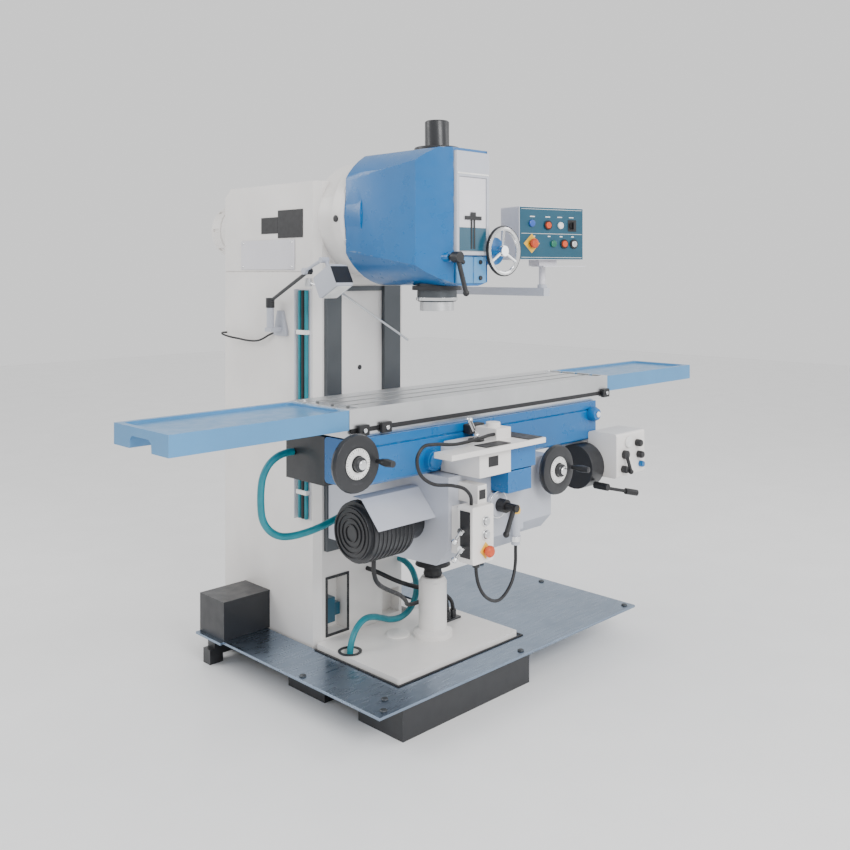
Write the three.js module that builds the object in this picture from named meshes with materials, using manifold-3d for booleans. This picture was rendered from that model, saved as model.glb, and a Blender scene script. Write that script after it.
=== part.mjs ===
// Vertical knee-type milling machine: base, column, tilting vertical head, knee, saddle and table.
// Millimetres. X runs along the table to the operator's right, Y away from the operator, Z up.
// The origin is on the floor, on the spindle's axis.
import * as THREE from "three";
import { mergeVertices } from "three/addons/utils/BufferGeometryUtils.js";
import Module from "manifold-3d";

const wasm = await Module();
wasm.setup();

// ---- Driving dimensions -----------------------------------------------------------------
const FIT = 0.4; // gap between pieces that touch on the real machine
const TRAY_TOP = 130; // top of the steel chip tray round the base
const BASE_TOP = 150; // top of the white base casting
const BASE = { x: [-246, 415], y: [-50, 418] };
const PLATE = { x: [-465, 1055], y: [-190, 728], thickness: 10 };
const COLUMN = { half: 240, y: [420, 1085], top: 1955, bottom: 120 };
const WAY = { thickness: 20, left: [-205, -130], right: [100, 190], bottom: 500, top: 1540 };
const KNEE = { x: [-200, 400], y: [-250, 398], bottom: 555, top: 890 };
const SADDLE = { x: [-560, 800], y: [-160, 196], top: 1052 };
const TABLE = { x: [-560, 900], y: [-150, 170], top: 1150, bottom: 1053 };
const SHELF = { x: [-655, 700], thickness: 68 }; // how far the end trays reach beyond the table
const SLOT = { pitch: 80, neck: 18, neckDepth: 20, foot: 32, depth: 38 };
const HEAD = { half: 190, y: [-172, 262], bottom: 1546, top: 2045, nose: 90 };
const TILT_HEIGHT = 1810; // height of the head's tilting axis, which runs along Y
const FLANGE_RADIUS = 250;
const SPINDLE_NOSE = 1452; // height of the spindle's end face
const SCREW = { x: 140, y: 160, radius: 24, tip: 152, nutTop: 385 }; // knee elevating screw
const TABLE_WHEEL = { x: -578, z: 985 };
const CROSS_WHEEL = { x: 360, z: 842 };
const CONNECTOR = [130, -275]; // cable connector on the knee, in X and Y
const CRANK = { x: 34, z: 762 };
const QUILL_WHEEL = { x: 150, z: 1675 };
const QUILL = { radius: 75, bottom: 1486, nose: 64.3, taper: 34.9, taperDepth: 101.8 };
const LEVER_HUB = [-107, 1650]; // quill clamp lever, in X and Z
const PANEL = { x: 600, y: -30, z: 1755, width: 330, height: 218, depth: 130, turn: -15 };
const MOTOR = [-105, 1780]; // centre of the main motor in X and Z
const LAMP = { x: -285, y: 665, z: 1478 };

// ---- Finishes ---------------------------------------------------------------------------
function finish(color, roughness, metalness) {
  return new THREE.MeshStandardMaterial({ color, roughness, metalness });
}
const white = () => finish(0xdedcda, 0.45, 0);
const grey = () => finish(0xc4c5ca, 0.45, 0);
const blue = () => finish(0x0a70b0, 0.4, 0);
const paleBlue = () => finish(0x6c9cc8, 0.45, 0);
const black = () => finish(0x15171a, 0.5, 0);
const darkSteel = () => finish(0x4a4f52, 0.45, 0.8);
const steel = () => finish(0xc9ccd0, 0.3, 0.9);
const plateSteel = () => finish(0x8196ab, 0.35, 0.8);
const chrome = () => finish(0xe4e6e8, 0.12, 1);
const teal = () => finish(0x17808a, 0.45, 0);
const navy = () => finish(0x0d3b4c, 0.4, 0);
const red = () => finish(0xd04a1c, 0.4, 0);
const green = () => finish(0x1f5b45, 0.4, 0);

// ---- Solids -----------------------------------------------------------------------------
// A closed three.js geometry as a solid with its faces pointing out.
function solid(geometry) {
  geometry.deleteAttribute("normal");
  geometry.deleteAttribute("uv");
  const merged = mergeVertices(geometry, 0.001);
  const index = merged.index.array;
  const triangles = [];
  for (let i = 0; i < index.length; i += 3) {
    const [a, b, c] = [index[i], index[i + 1], index[i + 2]];
    if (a !== b && b !== c && c !== a) triangles.push(a, b, c);
  }
  const vertices = Float32Array.from(merged.attributes.position.array);
  const build = (corners) =>
    new wasm.Manifold(
      new wasm.Mesh({ numProp: 3, vertProperties: vertices, triVerts: Uint32Array.from(corners) }),
    );
  const made = build(triangles);
  return made.volume() > 0 ? made : build([...triangles].reverse());
}

// Shapes are drawn with their length along +Z and turned to run along another axis.
const TURN = {
  x: new THREE.Matrix4().set(0, 0, 1, 0, 1, 0, 0, 0, 0, 1, 0, 0, 0, 0, 0, 1),
  y: new THREE.Matrix4().set(1, 0, 0, 0, 0, 0, -1, 0, 0, 1, 0, 0, 0, 0, 0, 1),
  z: new THREE.Matrix4(),
};
const QUARTER = Math.PI / 2;

function block([x0, x1], [y0, y1], [z0, z1]) {
  const geometry = new THREE.BoxGeometry(x1 - x0, y1 - y0, z1 - z0);
  return solid(geometry.translate((x0 + x1) / 2, (y0 + y1) / 2, (z0 + z1) / 2));
}

// A round bar along an axis, centred on the other two coordinates in X, Y, Z order.
function rod(axis, radius, [from, to], [a, b], sides = 20, tip = radius) {
  const flip = axis === "y";
  const geometry = new THREE.CylinderGeometry(flip ? radius : tip, flip ? tip : radius, to - from, sides);
  const middle = (from + to) / 2;
  geometry.rotateX(QUARTER).translate(a, b, flip ? -middle : middle);
  return solid(geometry.applyMatrix4(TURN[axis]));
}

// An outline in the plane across an axis, extruded along it.
function prism(axis, outline, [from, to]) {
  const corners = (points) => new THREE.Shape(points.map(([a, b]) => new THREE.Vector2(a, b)));
  const shape = outline instanceof THREE.Shape ? outline : corners(outline);
  const length = { depth: to - from, bevelEnabled: false, curveSegments: 3 };
  const geometry = new THREE.ExtrudeGeometry(shape, length);
  geometry.translate(0, 0, axis === "y" ? -to : from);
  return solid(geometry.applyMatrix4(TURN[axis]));
}

// A turned shape: its profile is a list of [radius, position along the axis].
function turned(axis, profile, [a, b], sides = 24) {
  const sign = axis === "y" ? -1 : 1;
  const points = profile.map(([radius, along]) => new THREE.Vector2(radius, sign * along));
  const geometry = new THREE.LatheGeometry(points, sides);
  return solid(geometry.rotateX(QUARTER).translate(a, b, 0).applyMatrix4(TURN[axis]));
}

function ball([x, y, z], radius, sides = 10) {
  return solid(new THREE.SphereGeometry(radius, sides, sides / 2 + 1).translate(x, y, z));
}

// A rectangle with rounded corners, as an outline.
function rounded([a0, a1], [b0, b1], radius) {
  const shape = new THREE.Shape();
  shape.moveTo(a0 + radius, b0);
  shape.lineTo(a1 - radius, b0).absarc(a1 - radius, b0 + radius, radius, -QUARTER, 0);
  shape.lineTo(a1, b1 - radius).absarc(a1 - radius, b1 - radius, radius, 0, QUARTER);
  shape.lineTo(a0 + radius, b1).absarc(a0 + radius, b1 - radius, radius, QUARTER, 2 * QUARTER);
  shape.lineTo(a0, b0 + radius).absarc(a0 + radius, b0 + radius, radius, 2 * QUARTER, 3 * QUARTER);
  return shape;
}

// A round bar between two points.
function bar(start, end, radius, sides = 8) {
  const [from, to] = [new THREE.Vector3(...start), new THREE.Vector3(...end)];
  const geometry = new THREE.CylinderGeometry(radius, radius, from.distanceTo(to), sides);
  const turn = new THREE.Quaternion().setFromUnitVectors(
    new THREE.Vector3(0, 1, 0),
    to.clone().sub(from).normalize(),
  );
  const middle = from.clone().add(to).multiplyScalar(0.5);
  return solid(geometry.applyQuaternion(turn).translate(middle.x, middle.y, middle.z));
}

// A tube along a smooth curve through the given points.
function hose(points, diameter, steps, sides = 8) {
  const route = new THREE.CatmullRomCurve3(points.map((p) => new THREE.Vector3(...p)), false, "centripetal");
  const ring = new THREE.Shape();
  for (let i = 0; i < sides; i++) {
    const angle = (i / sides) * 4 * QUARTER;
    const [u, v] = [Math.cos(angle) * diameter / 2, Math.sin(angle) * diameter / 2];
    if (i === 0) ring.moveTo(u, v);
    else ring.lineTo(u, v);
  }
  ring.closePath();
  return solid(new THREE.ExtrudeGeometry(ring, { steps, extrudePath: route, bevelEnabled: false }));
}

const join = (...solids) => solids.reduce((whole, next) => whole.add(next));
const cut = (whole, ...tools) => tools.reduce((rest, tool) => rest.subtract(tool), whole);

// ---- The machine and its moving groups --------------------------------------------------
const machine = new THREE.Group();

function addPiece(name, shape, material) {
  const mesh = shape.getMesh();
  const positions = new Float32Array(mesh.numVert * 3);
  for (let i = 0; i < mesh.numVert; i++) {
    for (let k = 0; k < 3; k++) positions[3 * i + k] = mesh.vertProperties[mesh.numProp * i + k];
  }
  const geometry = new THREE.BufferGeometry();
  geometry.setAttribute("position", new THREE.BufferAttribute(positions, 3));
  geometry.setIndex(new THREE.BufferAttribute(Uint32Array.from(mesh.triVerts), 1));
  geometry.computeVertexNormals();
  const piece = new THREE.Mesh(geometry, material);
  piece.name = name;
  machine.add(piece);
}

// ---- Base and column --------------------------------------------------------------------
const DRAIN = [-206, 262];
const GLAND = [300, 235];
const SCREW_PIT = rod("z", 40, [-10, 500], [SCREW.x, SCREW.y]);

function addBase() {
  const deckTop = TRAY_TOP - PLATE.thickness - FIT;
  const heel = (side) => {
    const [inner, outer] = [COLUMN.half + FIT, 462];
    const span = (a, b) => (side > 0 ? [a, b] : [-b, -a]);
    return join(
      block(span(inner, outer), [730, 905], [TRAY_TOP + FIT, 285]),
      block(span(inner, 430), [846, 896], [34, TRAY_TOP + 2]),
      block(span(390, 452), [846, 896], [0, 60]),
    );
  };
  const plinth = join(
    block([-340, 340], [-170, 1060], [34, deckTop]),
    block([-340, 340], [-170, 60], [0, 60]),
    block([-340, 340], [250, 470], [0, 60]),
    block([-250, 250], [860, 1060], [0, 60]),
    heel(-1),
    heel(1),
  );
  addPiece("base_plinth", cut(plinth, SCREW_PIT), black());

  const casting = join(
    prism("z", rounded(BASE.x, BASE.y, 12), [deckTop + FIT, BASE_TOP]),
    turned("z", [[0, BASE_TOP - 5], [50, BASE_TOP - 5], [50, BASE_TOP + 4], [40, BASE_TOP + 9],
      [0, BASE_TOP + 9]],
      [45, 262]),
  );
  const drain = rod("z", 34, [BASE_TOP - 22, BASE_TOP + 5], DRAIN, 20);
  const nut = turned("z", [[0, BASE_TOP - 4], [78, BASE_TOP - 4], [78, 172], [56, 182],
    [56, SCREW.nutTop - 18],
    [44, SCREW.nutTop], [0, SCREW.nutTop]],
    [SCREW.x, SCREW.y]);
  const bore = rod("z", SCREW.radius + 1, [-10, 500], [SCREW.x, SCREW.y]);
  addPiece("base_casting", cut(join(casting, nut), bore, drain), white());

  const gap = 6; // between the tray's cut-out and the casting
  const sheet = join(
    block(PLATE.x, PLATE.y, [TRAY_TOP - PLATE.thickness, TRAY_TOP]),
    block([PLATE.x[0] - 16, -COLUMN.half - 2], [PLATE.y[1] - 1, 907], [TRAY_TOP - PLATE.thickness, TRAY_TOP]),
  );
  const opening = block([BASE.x[0] - gap, BASE.x[1] + gap], [BASE.y[0] - gap, 950], [0, 300]);
  const heelNotch = block([-436, -200], [840, 902], [0, 300]);
  addPiece("chip_tray", cut(sheet, opening, heelNotch), plateSteel());

  const [glandX, glandY] = GLAND;
  const nipple = (x, radius) => rod("z", radius, [157, 186], [x, glandY], 18);
  const foot = block([glandX - 30, glandX + 58], [glandY - 27, glandY + 27], [BASE_TOP + FIT, 158]);
  const gland = join(foot, nipple(glandX, 18), nipple(glandX + 36, 14));
  addPiece("hose_gland", gland, black());
}

function addColumn() {
  const [front, back] = COLUMN.y;
  const side = COLUMN.half;
  const chamfer = 26;
  const outline = [
    [-side + chamfer, front], [side - chamfer, front], [side, front + chamfer], [side, back - chamfer],
    [side - chamfer, back], [-side + chamfer, back], [-side, back - chamfer], [-side, front + chamfer],
  ];
  const body = prism("z", outline, [COLUMN.bottom, COLUMN.top]);
  const crown = 60; // height of the sloping top edge at the back
  const above = COLUMN.top + 1;
  const slope = prism("x", [[back - 70, above], [back + 1, above], [back + 1, above - crown]],
    [-side - 1, side + 1]);
  const neck = rod("y", FLANGE_RADIUS - 22, [330, front + 30], [0, TILT_HEIGHT], 36);
  const window = block([-192, -84], [front - 1, front + 70], [165, 390]);
  const service = block([105, 200], [front - 1, front + 50], [165, 270]);
  const seam = cut(
    block([-side - 5, side + 5], [front + 60, back + 5], [1596, 1600]),
    block([-side + 4, side - 4], [front + 60, back - 4], [1590, 1606]),
  );
  const motorBore = rod("y", 90, [back - 60, back + 10], MOTOR, 32);
  addPiece("column", cut(join(body, neck), slope, window, service, seam, motorBore), white());

  const way = ([x0, x1]) => block([x0, x1], [front - WAY.thickness, front - FIT], [WAY.bottom, WAY.top]);
  const tie = block([WAY.left[0], WAY.right[1]], [front - 8, front - FIT], [WAY.top - 20, WAY.top]);
  addPiece("column_ways", join(way(WAY.left), way(WAY.right), tie), darkSteel());

  const flange = turned("y", [[0, 262 + FIT], [FLANGE_RADIUS - 8, 262 + FIT], [FLANGE_RADIUS, 270],
    [FLANGE_RADIUS, 318], [FLANGE_RADIUS - 8, 326], [0, 326]], [0, TILT_HEIGHT], 36);
  addPiece("swivel_flange", flange, white());

  const fan = turned("y", [[0, back - 50], [88, back - 50], [88, back + 2], [118, back + 2], [118, back + 34],
    [110, back + 36], [110, back + 42], [118, back + 44], [118, back + 110], [98, back + 128],
    [0, back + 132]], MOTOR);
  const vents = Array.from({ length: 8 }, (_, i) => {
    const angle = (i * Math.PI) / 4;
    const [x, z] = [MOTOR[0] + 118 * Math.cos(angle), MOTOR[1] + 118 * Math.sin(angle)];
    return rod("y", 9, [back + 56, back + 98], [x, z], 8);
  });
  addPiece("main_motor", cut(fan, ...vents), white());
}

// ---- Vertical head, turning with the swivel flange ----------------------------------------
function addHead() {
  const [front, back] = HEAD.y;
  const { half, nose, bottom, top } = HEAD;
  const flare = half + 42; // half width where the housing meets the swivel
  const plan = [[-nose, front], [nose, front], [half, front + 96], [flare, back - 60], [flare, back - 6],
    [flare - 6, back], [-flare + 6, back], [-flare, back - 6], [-flare, back - 60], [-half, front + 96]];
  const rim = FLANGE_RADIUS - 14;
  const sides = prism("z", plan, [bottom, top]);
  const round = rod("y", FLANGE_RADIUS + 18, [front - 10, back + 10], [0, TILT_HEIGHT], 48);
  const shoulder = rod("y", rim, [back - 90, back - FIT], [0, TILT_HEIGHT], 36);
  const bore = rod("z", QUILL.radius + 1, [bottom - 10, bottom + 320], [0, 0], 36);
  const wheelBoss = rod("y", 52, [-160, -80], [QUILL_WHEEL.x, QUILL_WHEEL.z], 28);
  const leverBoss = rod("y", 17, [front + 2, front + 60], LEVER_HUB, 20);
  const housing = join(sides.intersect(round), shoulder, wheelBoss, leverBoss);
  const seat = block([-nose - 0.5, nose + 0.5], [front - 5, front + 4], [bottom - 5, top + 5]);
  addPiece("head_housing", cut(housing, bore, seat), blue());

  const face = front + 4 - FIT;
  const frame = cut(
    block([-nose + 2, nose - 2], [face - 16, face], [bottom + 112, top - 12]),
    block([-nose + 16, nose - 16], [face - 20, face - 8], [bottom + 126, top - 104]),
  );
  addPiece("head_front_plate", frame, grey());
  const cover = turned("z", [[0, top + FIT], [86, top + FIT], [86, top + 17], [82, top + 20], [46, top + 20],
    [46, top + 116], [42, top + 120], [0, top + 120]], [0, 0]);
  addPiece("drawbar_cover", cover, black());

  const { radius, bottom: lip, nose: flange, taper: mouth, taperDepth } = QUILL;
  const quill = turned("z", [[0, lip], [radius - 4, lip], [radius, lip + 4], [radius, bottom + 200],
    [0, bottom + 200]], [0, 0], 32);
  const spindleBore = rod("z", 44.4, [lip - 6, bottom + 150], [0, 0], 32);
  addPiece("quill", cut(quill, spindleBore), darkSteel());
  const spindle = turned("z", [[0, SPINDLE_NOSE], [flange, SPINDLE_NOSE], [flange, lip - FIT],
    [44, lip - FIT],
    [44, bottom + 140], [0, bottom + 140]], [0, 0]);
  const taper = turned("z", [[0, SPINDLE_NOSE - 1], [mouth, SPINDLE_NOSE - 1], [mouth - (taperDepth * 7) / 48,
    SPINDLE_NOSE + taperDepth], [0, SPINDLE_NOSE + taperDepth]], [0, 0]);
  const keyway = (side) =>
    block([side * 50 - 12, side * 50 + 12], [-12, 12], [SPINDLE_NOSE - 1, SPINDLE_NOSE + 12]);
  addPiece("spindle", cut(spindle, taper, keyway(1), keyway(-1)), steel());

  const [hubX, hubZ] = LEVER_HUB;
  const lever = join(
    rod("y", 20, [front - 48, front - 16], LEVER_HUB, 16),
    rod("y", 10, [front - 20, front + 2 - FIT], LEVER_HUB, 12),
    bar([hubX, front - 34, hubZ], [hubX + 34, front - 44, hubZ - 128], 9, 10),
    ball([hubX + 34, front - 44, hubZ - 128], 12, 12),
  );
  addPiece("quill_clamp_lever", lever, black());
  addWheel("quill_handwheel", QUILL_WHEEL.x, QUILL_WHEEL.z, -161, chrome());
}

// A spoked handwheel facing the operator.
function addWheel(name, x, z, back, material) {
  const rim = solid(new THREE.TorusGeometry(84, 9, 8, 28).rotateX(QUARTER).translate(x, back - 40, z));
  const hub = rod("y", 20, [back - 48, back - FIT], [x, z], 20);
  const spokes = [90, 210, 330].map((degrees) => {
    const angle = THREE.MathUtils.degToRad(degrees);
    const end = [x + 82 * Math.cos(angle), back - 40, z + 82 * Math.sin(angle)];
    return bar([x, back - 36, z], end, 6, 8);
  });
  addPiece(name, join(rim, hub, ...spokes), material);
}

// ---- Handwheels of the knee and saddle: a black dished disc with a graduated collar --------
function discWheel(x, z, back) {
  const disc = turned("y", [
    [0, back], [30, back], [30, back - 18], [66, back - 22], [92, back - 12], [96, back - 24],
    [92, back - 36],
    [66, back - 40], [52, back - 34], [24, back - 34], [24, back - 52], [20, back - 56], [0, back - 56],
  ], [x, z], 28);
  const grip = join(
    rod("y", 8, [back - 70, back - 30], [x + 78, z], 12),
    turned("y", [[0, back - 62], [11, back - 62], [14, back - 88], [11, back - 118], [0, back - 120]],
      [x + 78, z], 14),
  );
  return join(disc, grip);
}

function addKnee() {
  const [front, rear] = KNEE.y;
  const outline = [[front, 640], [front + 60, KNEE.bottom + 20], [rear - 120, KNEE.bottom],
    [rear, KNEE.bottom],
    [rear, KNEE.top - FIT], [front, KNEE.top - FIT]];
  const main = prism("x", outline, [KNEE.x[0], 205]);
  const gearcase = prism("x", [[front + 20, 655], [front + 70, 600], [rear - 200, 600],
    [rear - 200, KNEE.top - FIT],
    [front + 20, KNEE.top - FIT]], [205 - 1, KNEE.x[1]]);
  const wayRelief = block([WAY.left[0] - 10, WAY.right[1] + 10], [COLUMN.y[0] - WAY.thickness - FIT, 430],
    [0, 2000]);
  const screwSeat = rod("z", SCREW.radius + 0.2, [500, 640], [SCREW.x, SCREW.y]);
  const wheelBoss = rod("y", 46, [-262, front + 40], [CROSS_WHEEL.x, CROSS_WHEEL.z], 24);
  const dial = turned("y", [[0, front + 5], [45, front + 5], [45, front - 26], [42, front - 30],
    [0, front - 30]],
    [CRANK.x, CRANK.z]);
  const connector = join(
    rod("z", 16, [600, 714], CONNECTOR, 16),
    block([CONNECTOR[0] - 10, CONNECTOR[0] + 10], [CONNECTOR[1], front + 5], [660, 700]),
  );
  addPiece("knee", cut(join(main, gearcase, wheelBoss, dial, connector), wayRelief, screwSeat), grey());

  addPiece("elevating_screw", rod("z", SCREW.radius - 0.2, [SCREW.tip, 639], [SCREW.x, SCREW.y]), steel());

  const apron = prism("z", [[20, -332], [150, -332], [190, -300], [190, front - FIT], [20, front - FIT]],
    [812, 889]);
  addPiece("knee_apron", apron, blue());

  const motor = join(
    rod("x", 104, [-464, -282], [-66, 717], 36),
    rod("x", 92, [-480, -463], [-66, 717], 36),
    rod("x", 70, [-283, KNEE.x[0] - FIT], [-66, 717], 24),
  );
  addPiece("feed_motor", motor, black());
  const cover = [[-191, 744], [-188, 742], [-103, 832], [-58, 835], [-58, 839], [-105, 837]];
  addPiece("feed_motor_cover", prism("x", cover, [-468, KNEE.x[0] - FIT]), grey());

  const pendant = join(
    prism("y", rounded([-205, -98], [612, 806], 8), [-366, -300]),
    block([-185, -120], [-301, front - FIT], [630, 790]),
    block([-150, -104], [-340, front - FIT], [805, 868]),
  );
  const recess = (z, radius) => rod("y", radius, [-368, -360], [-140, z], 16);
  addPiece("pendant_box", cut(pendant, recess(752, 14), recess(706, 14), recess(652, 12)), white());
  const seat = -366 - FIT;
  const button = (name, z, material) =>
    addPiece(name, turned("y", [[0, seat], [13, seat], [13, seat - 10], [11, seat - 12], [0, seat - 12]],
      [-140, z], 16), material);
  button("pendant_start_button", 752, steel());
  button("pendant_stop_button", 706, steel());
  addPiece("pendant_stop_mushroom", mushroom(-140, 652, seat), red());
  for (const [name, z] of [["feed_selector_lever_upper", 724], ["feed_selector_lever_lower", 664]]) {
    const stem = join(
      rod("x", 13, [-228, -205 - FIT], [-330, z], 14),
      bar([-222, -330, z], [-262, -338, z - 22], 5, 10),
      ball([-264, -338, z - 24], 11),
    );
    addPiece(name, stem, chrome());
  }

  const crank = join(
    rod("y", 24, [front - 64, front - 31], [CRANK.x, CRANK.z], 20),
    rod("y", 14, [front - 112, front - 60], [CRANK.x, CRANK.z], 16),
    bar([CRANK.x, front - 98, CRANK.z], [CRANK.x - 46, front - 100, CRANK.z - 84], 9, 10),
    ball([CRANK.x - 46, front - 100, CRANK.z - 84], 12, 12),
  );
  addPiece("elevation_crank", crank, black());

  addPiece("cross_handwheel", discWheel(CROSS_WHEEL.x, CROSS_WHEEL.z, -262 - FIT), black());
}

// An emergency stop: mushroom head on a short stem.
function mushroom(x, z, seat) {
  return turned("y", [[0, seat], [11, seat], [11, seat - 12], [20, seat - 15], [20, seat - 24],
    [14, seat - 31],
    [0, seat - 33]], [x, z], 20);
}

// ---- Saddle and table ---------------------------------------------------------------------
function addSaddle() {
  const [front, rear] = SADDLE.y;
  const [bottom, top] = [KNEE.top + FIT, SADDLE.top];
  const outline = [[front, bottom + 10], [front + 12, bottom], [rear - 10, bottom], [rear, bottom + 14],
    [rear, top],
    [front, top], [front, top - 30], [front + 6, top - 34], [front, top - 38]];
  const body = prism("x", outline, [SADDLE.x[0] + 24, SADDLE.x[1]]);
  const endRelief = block([SADDLE.x[0], -330], [-20, rear + 1], [bottom - 1, top + 1]);
  const boss = rod("y", 36, [front - 22, front + 10], [-195, 939], 24);
  const endPlate = prism("x", rounded([front + 2, -22], [bottom + 4, top - 4], 14),
    [SADDLE.x[0], SADDLE.x[0] + 25]);
  const apron = prism("z", rounded([22, 188], [-330, front + 20], 16), [bottom + 2, 980.5]);
  const wheelBoss = rod("y", 39, [-176, front + 10], [TABLE_WHEEL.x, TABLE_WHEEL.z], 24);
  addPiece("saddle", join(cut(body, endRelief), boss, endPlate, apron, wheelBoss), blue());
  addPiece("saddle_end_cover", block([SADDLE.x[0] + 2, -331], [-19, rear - 2], [880, top - 6]), black());

  const console = join(
    block([-146, 20], [-345, front - FIT], [bottom + 2, 982]),
    prism("z", [[-322, -382], [172, -382], [172, -176], [-146, -176], [-146, -300], [-322, -300]],
      [981, 1000]),
    block([-6, 74], [-300, -200], [999, 1040]),
    rod("z", 26, [1039, 1056], [34, -250], 20),
    rod("z", 12, [999, 1004], [-60, -252], 16),
  );
  addPiece("operator_shelf", console, white());
  const feedLever = join(
    ball([-60, -252, 1018], 13),
    bar([-60, -252, 1020], [-104, -262, 1078], 7, 10),
    ball([-105, -262, 1080], 11),
  );
  addPiece("table_feed_lever", feedLever, chrome());
  addPiece("table_handwheel", discWheel(TABLE_WHEEL.x, TABLE_WHEEL.z, -176 - FIT), black());

  const gearbox = join(
    prism("x", rounded([-300, front - FIT], [748, 930], 12), [745, 955]),
    block([745, 900], [front - 2, 0], [748, bottom - 8]),
    block([760, 800], [-60, 0], [bottom - 9, bottom - FIT]),
  );
  addPiece("feed_gearbox", gearbox, white());
  const guard = rod("x", 92, [660, 745 - FIT], [-150, 790], 28);
  addPiece("feed_shaft_guard", guard, black());
  const speedLever = join(
    rod("y", 18, [-318, -300 - FIT], [800, 842], 16),
    bar([800, -312, 842], [806, -330, 776], 7, 10),
    ball([806, -330, 774], 11),
  );
  addPiece("gear_shift_lever", speedLever, black());
  const rapidLever = join(
    rod("y", 15, [-290, -226], [700, 720], 14),
    bar([700, -278, 716], [800, -318, 692], 7, 10),
    bar([790, -314, 694.4], [842, -334.8, 682], 13, 12),
  );
  addPiece("rapid_feed_lever", rapidLever, black());
  const knob = turned("y", [[0, front - FIT], [30, front - FIT], [30, front - 20], [24, front - 34],
    [0, front - 36]], [765, 1000], 20);
  addPiece("table_lock_knob", knob, blue());
}

function addTable() {
  const [front, rear] = TABLE.y;
  const middle = (front + rear) / 2;
  const slots = [1, 0, -1].flatMap((i) => {
    const y = middle + i * SLOT.pitch;
    const [neck, foot] = [SLOT.neck / 2, SLOT.foot / 2];
    const [throat, floor] = [TABLE.top - SLOT.neckDepth, TABLE.top - SLOT.depth];
    return [[y + neck, TABLE.top], [y + neck, throat], [y + foot, throat], [y + foot, floor],
      [y - foot, floor], [y - foot, throat], [y - neck, throat], [y - neck, TABLE.top]];
  });
  const groove = [[front, 1086], [front + 12, 1086], [front + 12, 1070], [front, 1070]];
  const outline = [[front + 4, TABLE.bottom], [rear - 4, TABLE.bottom], [rear, TABLE.bottom + 6],
    [rear, TABLE.top],
    ...slots, [front, TABLE.top], ...groove];
  const slab = prism("x", outline, TABLE.x);
  const gutter = (x0) =>
    prism("z", rounded([x0, x0 + 46], [front + 16, rear - 16], 14), [TABLE.top - 16, TABLE.top + 1]);
  addPiece("table", cut(slab, gutter(TABLE.x[0] + 14), gutter(TABLE.x[1] - 60)), steel());

  const shelf = (name, [x0, x1]) => {
    const slab = block([x0, x1], [front + 2, rear - 2], [TABLE.top - SHELF.thickness, TABLE.top - 3]);
    const arch = prism("x", [[middle - 70, 1000], [middle + 70, 1000], [middle + 62, TABLE.top - 40],
      [middle + 46, TABLE.top - 30], [middle - 46, TABLE.top - 30], [middle - 62, TABLE.top - 40]],
    [x0 - 1, x1 + 1]);
    const inside = rounded([x0 + 20, x1 - 20], [front + 22, rear - 22], 16);
    const pocket = prism("z", inside, [TABLE.top - 12, TABLE.top + 1]);
    addPiece(name, cut(slab, arch, pocket), paleBlue());
  };
  shelf("left_tray", [TABLE.x[0] + SHELF.x[0], TABLE.x[0] - FIT]);
  shelf("right_tray", [TABLE.x[1] + FIT, TABLE.x[1] + SHELF.x[1]]);
}

// ---- Control panel on its swinging arm ----------------------------------------------------
const ARM_PIVOT = [312, 520];
// Buttons on the panel's face, measured from its middle.
const CAPS = { start: [-22, 34], jog: [62, -42], coolant: [112, -42], stop: [-104, -42] };
const ARM_LEVEL = { high: [1600, 1640], low: [1496, 1530] };

function addPanel() {
  const { x, y, z, width, height, depth } = PANEL;
  const [high, low] = [ARM_LEVEL.high, ARM_LEVEL.low];
  addPiece("panel_arm_bracket", join(
    block([COLUMN.half + FIT, ARM_PIVOT[0]], [ARM_PIVOT[1] - 60, ARM_PIVOT[1] + 60],
      [high[0] - 30, high[0] - FIT]),
    rod("z", 32, [high[0] - 30, high[0] - FIT], ARM_PIVOT, 20),
  ), white());
  addPiece("panel_arm", join(
    rod("z", 30, high, ARM_PIVOT, 20),
    block([ARM_PIVOT[0], x + 20], [ARM_PIVOT[1] - 20, ARM_PIVOT[1] + 20], high),
    block([x - 20, x + 20], [ARM_PIVOT[1] - 20, ARM_PIVOT[1] + 20], [low[0], high[1]]),
    block([x - 20, x + 20], [y - 24, ARM_PIVOT[1] + 20], low),
    rod("z", 20, [low[1] - 1, low[1] + 14], [x, y], 16),
  ), grey());

  // The panel is drawn facing the operator and turned towards them about its post.
  const [sill, crown] = [z - height / 2, z + height / 2];
  const face = -depth / 2;
  const turn = (shape) => shape.rotate([0, 0, PANEL.turn]).translate([x, y, 0]);
  const body = join(
    prism("y", rounded([-width / 2, width / 2], [sill, crown], 6), [face, depth / 2]),
    rod("z", 14, [low[1] + 14 + FIT, sill + 2], [0, 0], 16),
    block([-60, 160], [face - 24, face + 60], [sill - 28, sill - 24]),
    block([-45, 45], [-40, 34], [sill - 25, sill + 2]),
  );
  const recess = ([dx, dz], radius) => rod("y", radius, [face - 2, face + 6], [dx, z + dz], 16);
  const wells = [CAPS.start, CAPS.jog, CAPS.coolant].map((at) => recess(at, 15));
  addPiece("control_panel", turn(cut(body, ...wells, recess(CAPS.stop, 12))), navy());
  const seat = face - FIT;
  const cap = (name, [dx, dz], material) =>
    addPiece(name, turn(turned("y", [[0, seat], [14, seat], [14, seat - 9], [12, seat - 12], [0, seat - 12]],
      [dx, z + dz], 16)), material);
  cap("panel_start_button", CAPS.start, red());
  cap("panel_jog_button", CAPS.jog, red());
  cap("panel_coolant_button", CAPS.coolant, steel());
  const selector = join(
    rod("y", 15, [seat - 8, seat], [104, z + 34], 16),
    block([99, 109], [seat - 20, seat - 7], [z + 20, z + 48]),
  );
  addPiece("panel_selector", turn(selector), black());
  addPiece("panel_emergency_stop", turn(mushroom(CAPS.stop[0], z + CAPS.stop[1], seat)), red());
}

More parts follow.
